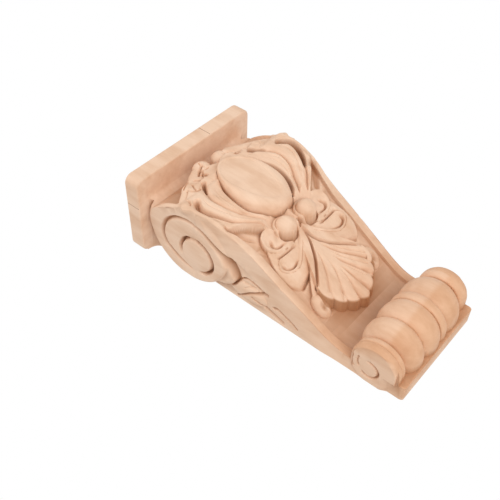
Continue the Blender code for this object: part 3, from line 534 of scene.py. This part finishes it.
# From the crook (0) to the eye (1) the groove's half width, depth and painted shade change
GROOVE_WIDE = ((0.0, 2.2), (0.08, 3.0), (0.22, 2.6), (0.4, 1.7), (0.6, 2.0), (0.85, 2.2), (1.0, 1.2))
GROOVE_DEEP = ((0.0, 5.5), (0.22, 4.6), (0.4, 2.0), (0.6, 3.0), (0.85, 3.2), (1.0, 0.0))
GROOVE_DARK = ((0.0, 1.0), (0.3, 0.9), (0.45, 0.1), (0.6, 0.7), (0.85, 0.7), (1.0, 0.1))
GROOVE_REACH, GROOVE_FLOOR = 3.4, NECK_HALF - 1.6
SIDE_CUTS = (
    (((92.0, 19.8), (89.8, 15.0), (86.4, 10.5)), (2.0, 0.7), 3.2),
    (((93, 20.5), (98.1, 24.0), (104.9, 23.4), (111, 20.9), (115.5, 20.0)), (0.8, 1.9), 2.6),
    (((115.5, 20.2), (109, 17.6), (102.5, 14.2), (96.5, 8.6), (90.5, 2.0)), (1.7, 0.9), 2.4),
    (((98, 16.5), (102, 19.4), (106, 20.6)), (0.9, 0.6), 0.6),
    (((104.5, 11.8), (111.4, 9.7), (118.3, 7.0), (123.5, 5.0), (129, 3.2)), (1.2, 2.6), 2.2),
    (((121.5, 12.0), (125, 13.0), (130, 11.2), (136.8, 8.5), (141, 5.6)), (1.7, 1.0), 2.6),
)
side_t = np.linspace(0.0, 1.0, SIDE_STEPS, endpoint=False)[None]
rim_z = rim_height(down)
side_a = down + 0.0 * side_t
side_z = rim_z * side_t
sides = side_level(side_a, side_z)
# Painted shade: each side cut is painted darker by its depth
CUT_DARK_DEPTH = 3.6
painted_cuts_shade = np.zeros(side_a.shape)
for line, (start, finish), depth in SIDE_CUTS:
    d, t = nearest(side_a, side_z, smooth_line(line), max(start, finish))
    section = cut(d, start + (finish - start) * t)
    sides = sides - depth * section
    painted_cuts_shade = np.maximum(painted_cuts_shade, section * min(depth / CUT_DARK_DEPTH, 1.0))
d, t = nearest(side_a, side_z, smooth_line(SCROLL_GROOVE), GROOVE_REACH)
section = cut(d, along_table(t, GROOVE_WIDE))
grooved = np.maximum(sides - along_table(t, GROOVE_DEEP) * section, GROOVE_FLOOR)
sides = np.where(section > 0.0, grooved, sides)
# Painted shade is laid in the scroll's groove, as dark as the table gives
painted_groove_shade = section * along_table(t, GROOVE_DARK)

# The eye stands in a round groove that is closed towards the back and nearly closed towards the
# front: each closed stretch has its direction, where it fades, and how far it is closed.
EYE, EYE_R, EYE_RISE = (59.0, 24.0), 13.2, 0.8
EYE_CUT_OFF, EYE_CUT_HALF, EYE_CUT_DEPTH = 1.2, 1.9, 5.0
EYE_CLOSED = ((math.radians(240.0), (0.45, 0.85), 1.0), (math.radians(103.0), (0.93, 0.99), 0.75))
eye_d = np.hypot(side_a - EYE[0], side_z - EYE[1])
turn = np.arctan2(side_z - EYE[1], side_a - EYE[0])
closed = np.zeros(side_a.shape)
for toward, fade, share in EYE_CLOSED:
    closed = np.maximum(closed, share * soft_step(np.cos(turn - toward), *fade))
eye_cut = cut(np.abs(eye_d - EYE_R - EYE_CUT_OFF), EYE_CUT_HALF) * (1.0 - closed)
sides = sides - EYE_CUT_DEPTH * eye_cut + EYE_RISE * round_top(eye_d, EYE_R)

# The ends of the roll have an open ring round their eye and two short curved lines above it
ROLL_EYE_A, ROLL_EYE_Z, ROLL_EYE_R, ROLL_EYE_GROWS = ROLL_A - 3.0, ROLL_Z - 4.5, 6.8, 1.2
ROLL_RING_HALF, ROLL_RING_DEPTH, ROLL_RING_TURN, ROLL_RING_ENDS = 1.4, 2.4, -0.3, (1.6, 2.3)
ROLL_LINES = (((183, 17.5), (182.6, 12), (184.5, 7.5)), ((187, 19), (186.6, 14.5), (188, 11)))
ROLL_LINE_HALF, ROLL_LINE_DEPTH = 1.0, 1.2
roll_d = np.hypot(side_a - ROLL_EYE_A, side_z - ROLL_EYE_Z)
turn = np.arctan2(side_z - ROLL_EYE_Z, side_a - ROLL_EYE_A)
ring = cut(np.abs(roll_d - ROLL_EYE_R - ROLL_EYE_GROWS * (turn / math.pi)), ROLL_RING_HALF)
opened = 1.0 - soft_step(np.abs(turn - ROLL_RING_TURN), *ROLL_RING_ENDS)
sides = sides - ROLL_RING_DEPTH * ring * opened
for line in ROLL_LINES:
    d, t = nearest(side_a, side_z, smooth_line(line), ROLL_LINE_HALF)
    sides = sides - ROLL_LINE_DEPTH * cut(d, ROLL_LINE_HALF)

# Painted shade: deep cuts and hollows, the knob's hollow, the inner wall of the border, the slit round the
# boss foot, the cut eyes and the side grooves are painted darker and browner. A painted shade runs along the
# foot of the fan's end, with a faint painted shadow on the panel beyond it. The wood is also a little warmer
# down the slope and on the roll.
SPREAD, SHADE_FROM, SHADE_SPAN, SHADE_MOST = 4, 0.2, 1.5, 0.75
FAN_END_SHADE_OFF, FAN_END_SHADE_FADE, FAN_END_FROM = 0.8, (1.0, 2.2), 135.0
FAN_SHADOW, FAN_SHADOW_RUN, FAN_SHADOW_WIDER = 0.04, (0.0, 10.0), 1.3
HOLLOW_SHADE, EYE_SHADE, SIDE_SHADE, BACK_EDGE = 0.5, 0.9, 0.6, (0.3, 1.5)
WARM_RUN, WARM_PANEL, WARM_SIDE = (84.0, 200.0), 0.5, 0.3
painted_cavity_shade = SHADE_MOST * np.clip((sunk_below(front, SPREAD) - SHADE_FROM) / SHADE_SPAN, 0.0, 1.0)
at_fan_end = a > FAN_END_FROM
# Painted shade along the foot of the fan's end
painted_fan_end_shade = 1.0 - soft_step(np.abs(reach - end - FAN_END_SHADE_OFF), *FAN_END_SHADE_FADE)
painted_fan_end_shade = painted_fan_end_shade * (angle < FAN_ANGLE) * at_fan_end
# A faint painted shadow on the panel beyond the fan's end
painted_fan_shadow = FAN_SHADOW * (1.0 - soft_step(reach - end, *FAN_SHADOW_RUN)) * (reach > end)
painted_fan_shadow = painted_fan_shadow * (angle < FAN_SHADOW_WIDER * FAN_ANGLE) * at_fan_end
front_painted_shade = np.maximum(painted_cavity_shade + HOLLOW_SHADE * knob_hollow, painted_fan_end_shade)
front_painted_shade = np.maximum(front_painted_shade, painted_wall_shade + np.maximum(painted_slit_shade, painted_eye_shade))
front_painted_shade = np.clip(front_painted_shade + painted_fan_shadow, 0.0, 1.0)
front_warmth = soft_step(a, *WARM_RUN) * (1.0 - WARM_PANEL * on_panel)
side_painted_shade = np.maximum(np.maximum(painted_groove_shade, painted_cuts_shade), EYE_SHADE * eye_cut)
side_painted_shade = np.clip(np.maximum(SIDE_SHADE * sunk_below(sides, SPREAD), side_painted_shade), 0.0, 1.0)
side_painted_shade = side_painted_shade * soft_step(side_z, *BACK_EDGE)
side_warmth = WARM_SIDE * soft_step(side_a, *WARM_RUN)

# The carving is cut
# A flat sheet is wrapped round the front and both sides, pressed to the carved shape and closed
# by the flat back and the two sawn ends. Plain stretches then give up the faces they don't need.
FACES_KEPT, SMOOTH_UNDER, FLAT_OVER = 186000, math.radians(38.0), 0.9999
EDGE_ROWS, CORNER_SHARE = 6, 0.12

eased_turn = np.linspace(0.0, math.pi / 2, EDGE_ROWS)
eased = PLATE_ROUND * (1.0 - np.cos(eased_turn))
inset = PLATE_ROUND * (1.0 - np.sin(eased_turn))
plate_a = np.concatenate([eased, PLATE_THICK - eased[::-1]])[:, None]
inset = np.concatenate([inset, inset[::-1]])[:, None]
back_turn = 0.5 * math.pi * np.clip(side_t / CORNER_SHARE, 0.0, 1.0)
front_turn = 0.5 * math.pi * np.clip((side_t - 1.0) / CORNER_SHARE + 1.0, 0.0, 1.0)
straight = np.clip((side_t - CORNER_SHARE) / (1.0 - 2.0 * CORNER_SHARE), 0.0, 1.0)
corner_u = PLATE_CORNER * (np.sin(back_turn) + np.cos(front_turn) - 2.0)
corner_z = PLATE_CORNER * (1.0 - np.cos(back_turn) + np.sin(front_turn))
plate_side = (plate_a + 0.0 * side_t, WIDTH / 2 - inset + corner_u,
              corner_z + (DEPTH - inset - 2.0 * PLATE_CORNER) * straight)
plate_front = (plate_a + 0.0 * across_t, (WIDTH / 2 - inset - PLATE_CORNER) * across_t,
               DEPTH - inset + 0.0 * across_t)
body_side = (side_a, sides + COVE_SIDE * cove, side_z * (1.0 + COVE_FRONT * cove / rim_z))
body_front = (a, (half + COVE_SIDE * cove) * across_t, front + COVE_FRONT * cove)

sheets = []
for (s_a, s_u, s_z), (f_a, f_u, f_z) in ((plate_side, plate_front), (body_side, body_front)):
    lengthways = np.concatenate([s_a, f_a, s_a[:, ::-1]], 1)
    sideways = np.concatenate([-s_u, f_u, s_u[:, ::-1]], 1)
    outwards = np.concatenate([s_z, f_z, s_z[:, ::-1]], 1)
    sheets.append(np.stack([sideways, -outwards, LENGTH / 2 - lengthways], 2))
points = np.concatenate(sheets) * 0.001
row_count, column_count = points.shape[:2]
tones = []
for on_side, on_front in ((side_painted_shade, front_painted_shade), (side_warmth, front_warmth)):
    plain = np.zeros((len(plate_a), column_count))
    tones.append(np.concatenate([plain, np.concatenate([on_side, on_front, on_side[:, ::-1]], 1)]))

bpy.ops.object.select_all(action='DESELECT')
bpy.ops.mesh.primitive_grid_add(x_subdivisions=column_count - 1, y_subdivisions=row_count - 1, size=2.0)
carving = bpy.context.object
carving.name = "carved_corbel"
flat = np.empty(row_count * column_count * 3)
carving.data.vertices.foreach_get("co", flat)
flat = flat.reshape(-1, 3)
order = np.lexsort((flat[:, 0].round(5), flat[:, 1].round(5)))
flat[order] = points.reshape(-1, 3)
carving.data.vertices.foreach_set("co", flat.ravel())
carving.data.update()
# The painted shade and the warmth are kept at the points of the mesh
for name, values in zip(("painted_shade", "warm_tone"), tones):
    layer = carving.data.attributes.new(name, 'FLOAT', 'POINT')
    placed = np.empty(len(flat))
    placed[order] = values.ravel()
    layer.data.foreach_set("value", placed)

grid = order.reshape(row_count, column_count)
for border in (grid[0], grid[-1]):
    chosen = np.zeros(len(flat), bool)
    chosen[border] = True
    bpy.ops.object.mode_set(mode='OBJECT')
    carving.data.polygons.foreach_set("select", np.zeros(len(carving.data.polygons), bool))
    edges = np.empty(len(carving.data.edges) * 2, int)
    carving.data.edges.foreach_get("vertices", edges)
    carving.data.vertices.foreach_set("select", chosen)
    carving.data.edges.foreach_set("select", chosen[edges].reshape(-1, 2).all(1))
    bpy.ops.object.mode_set(mode='EDIT')
    bpy.ops.mesh.select_mode(type='EDGE')
    bpy.ops.mesh.edge_face_add()
    bpy.ops.mesh.select_all(action='DESELECT')
bpy.ops.mesh.select_mode(type='EDGE')
bpy.ops.mesh.select_non_manifold()
bpy.ops.mesh.edge_face_add()
bpy.ops.mesh.select_all(action='SELECT')
bpy.ops.mesh.normals_make_consistent(inside=False)
bpy.ops.mesh.quads_convert_to_tris(quad_method='SHORTEST_DIAGONAL', ngon_method='CLIP')
bpy.ops.object.mode_set(mode='OBJECT')

fewer = carving.modifiers.new("fewer faces", 'DECIMATE')
fewer.ratio = FACES_KEPT / len(carving.data.polygons)
bpy.ops.object.modifier_apply(modifier=fewer.name)
bpy.ops.object.shade_smooth_by_angle(angle=SMOOTH_UNDER)
facing = np.empty(len(carving.data.polygons) * 3)
carving.data.polygons.foreach_get("normal", facing)
facing = facing.reshape(-1, 3)
flat_faces = (np.abs(facing[:, 1:]).max(1) > FLAT_OVER) & (facing[:, 1] >= 0.0)
carving.data.polygons.foreach_set("use_smooth", ~flat_faces)
carving.data.update()

# The wood
# Bare pale hardwood, sanded and unfinished: fine grain along the length with soft darker patches and a thin
# glue line between its staves, with painted shade of dark brown laid over it in the deep cuts and hollows.
WOOD_PALE, WOOD_DEEP = (0.93, 0.68, 0.51, 1.0), (0.80, 0.53, 0.355, 1.0)
SHADE_COLOUR, SHADE_SHARE = (0.42, 0.18, 0.07, 1.0), 0.85
WOOD_WARM, WOOD_PATCH, GLUE = (0.86, 0.72, 0.60, 1.0), (0.88, 0.80, 0.73, 1.0), (0.55, 0.45, 0.38, 1.0)
WOOD_ROUGH = 0.62
GRAIN_STRETCH, GRAIN_DETAIL = (260.0, 260.0, 14.0), 6.0
PATCH_STRETCH, PATCH_DETAIL, PATCH_FROM, PATCH_TO = (75.0, 75.0, 26.0), 4.0, 0.42, 0.68
NOISE_ROUGH = 0.6
SEAM_X, SEAM_Y, SEAM_HALF = 0.0152, -0.0418, 0.00028
PLATE_ABOVE = (LENGTH / 2 - PLATE_THICK + 0.4) * 0.001

wood = bpy.data.materials.new("bare_wood_carved")
wood.use_nodes = True
nodes, links = wood.node_tree.nodes, wood.node_tree.links


def noise(place, stretch, detail):
    """Noise over the object's own coordinates, stretched along the grain."""
    mapping = nodes.new("ShaderNodeMapping")
    mapping.inputs["Scale"].default_value = stretch
    links.new(place, mapping.inputs["Vector"])
    texture = nodes.new("ShaderNodeTexNoise")
    texture.inputs["Scale"].default_value = 1.0
    texture.inputs["Detail"].default_value = detail
    texture.inputs["Roughness"].default_value = NOISE_ROUGH
    links.new(mapping.outputs["Vector"], texture.inputs["Vector"])
    return texture.outputs["Fac"]


def mixed(ground, over, share, blend='MIX'):
    """A colour laid over the ground colour by a share, which is another node's value."""
    mix = nodes.new("ShaderNodeMix")
    mix.data_type = 'RGBA'
    mix.blend_type = blend
    if isinstance(ground, tuple):
        mix.inputs["A"].default_value = ground
    else:
        links.new(ground, mix.inputs["A"])
    mix.inputs["B"].default_value = over
    links.new(share, mix.inputs["Factor"])
    return mix.outputs["Result"]


def worked_out(operation, value, *others):
    """One value compared or joined with others, which are numbers or other nodes' values."""
    made = nodes.new("ShaderNodeMath")
    made.operation = operation
    links.new(value, made.inputs[0])
    for socket, other in zip(made.inputs[1:], others):
        if isinstance(other, float):
            socket.default_value = other
        else:
            links.new(other, socket)
    return made.outputs["Value"]


def painted(name):
    """A value kept at the points of the mesh."""
    layer = nodes.new("ShaderNodeAttribute")
    layer.attribute_name = name
    return layer.outputs["Fac"]


place = nodes.new("ShaderNodeTexCoord").outputs["Object"]
colour = mixed(WOOD_DEEP, WOOD_PALE, noise(place, GRAIN_STRETCH, GRAIN_DETAIL))
colour = mixed(colour, WOOD_WARM, painted("warm_tone"), 'MULTIPLY')
patches = nodes.new("ShaderNodeMapRange")
patches.inputs["From Min"].default_value = PATCH_FROM
patches.inputs["From Max"].default_value = PATCH_TO
links.new(noise(place, PATCH_STRETCH, PATCH_DETAIL), patches.inputs["Value"])
colour = mixed(colour, WOOD_PATCH, patches.outputs["Result"], 'MULTIPLY')

# The staves meet in thin glue lines that show on the plate: one across its two ends, and from that
# one another runs to the front and down it
split = nodes.new("ShaderNodeSeparateXYZ")
links.new(place, split.inputs["Vector"])
long_seam = worked_out('COMPARE', split.outputs["Y"], SEAM_Y, SEAM_HALF)
short_seam = worked_out('COMPARE', split.outputs["X"], SEAM_X, SEAM_HALF)
short_seam = worked_out('MULTIPLY', short_seam, worked_out('LESS_THAN', split.outputs["Y"], SEAM_Y))
on_plate = worked_out('GREATER_THAN', split.outputs["Z"], PLATE_ABOVE)
seams = worked_out('MULTIPLY', worked_out('MAXIMUM', long_seam, short_seam), on_plate)
colour = mixed(colour, GLUE, seams, 'MULTIPLY')
# Painted shade: the shade kept at the points darkens the wood towards a dark brown
colour = mixed(colour, SHADE_COLOUR, worked_out('MULTIPLY', painted("painted_shade"), SHADE_SHARE))

shader = nodes["Principled BSDF"]
shader.inputs["Roughness"].default_value = WOOD_ROUGH
links.new(colour, shader.inputs["Base Color"])
carving.data.materials.clear()
carving.data.materials.append(wood)

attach(carving, "root")
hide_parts("corbel")

# The stage
# A pale floor far below the hung corbel, white surroundings that light it a little more from
# above, and two large soft lamps: one from the upper left, one from below the front.
FLOOR_Z, FLOOR_SIZE, FLOOR_PAINT, FLOOR_ROUGH = -0.9, 12.0, (0.9, 0.9, 0.9, 1.0), 0.8
LAMP_COLOUR = (1.0, 0.98, 0.96)
LAMPS = (("key", (-0.75, -0.75, 0.95), 0.8, 3.7), ("front fill", (-0.25, -0.80, -0.62), 0.8, 4.0))
LIGHT_BELOW, LIGHT_ABOVE, SEEN = 0.46, 0.80, 1.0

bpy.ops.object.select_all(action='DESELECT')
bpy.ops.mesh.primitive_plane_add(size=FLOOR_SIZE, location=(0.0, 0.0, FLOOR_Z))
floor = bpy.context.object
floor.name = "floor"
paint = bpy.data.materials.new("pale_floor")
paint.use_nodes = True
paint.node_tree.nodes["Principled BSDF"].inputs["Base Color"].default_value = FLOOR_PAINT
paint.node_tree.nodes["Principled BSDF"].inputs["Roughness"].default_value = FLOOR_ROUGH
floor.data.materials.append(paint)

for name, spot, size, power in LAMPS:
    bpy.ops.object.light_add(type='AREA', location=spot)
    lamp = bpy.context.object
    lamp.name = name
    lamp.data.shape = 'DISK'
    lamp.data.size = size
    lamp.data.energy = power
    lamp.data.color = LAMP_COLOUR
    aim = -lamp.location
    lamp.rotation_euler = aim.to_track_quat('-Z', 'Y').to_euler()

world = bpy.context.scene.world or bpy.data.worlds.new("white room")
bpy.context.scene.world = world
world.use_nodes = True
sky, room = world.node_tree.nodes["Background"], world.node_tree
ray = room.nodes.new("ShaderNodeLightPath")
shown = room.nodes.new("ShaderNodeMix")
toward = room.nodes.new("ShaderNodeTexCoord")
parts = room.nodes.new("ShaderNodeSeparateXYZ")
fill = room.nodes.new("ShaderNodeMapRange")
sky.inputs["Color"].default_value = (1.0, 1.0, 1.0, 1.0)
fill.inputs["From Min"].default_value = -1.0
fill.inputs["To Min"].default_value = LIGHT_BELOW
fill.inputs["To Max"].default_value = LIGHT_ABOVE
shown.inputs["B"].default_value = SEEN
room.links.new(toward.outputs["Generated"], parts.inputs["Vector"])
room.links.new(parts.outputs["Z"], fill.inputs["Value"])
room.links.new(fill.outputs["Result"], shown.inputs["A"])
room.links.new(ray.outputs["Is Camera Ray"], shown.inputs["Factor"])
room.links.new(shown.outputs["Result"], sky.inputs["Strength"])
bpy.context.scene.view_settings.view_transform = 'Standard'
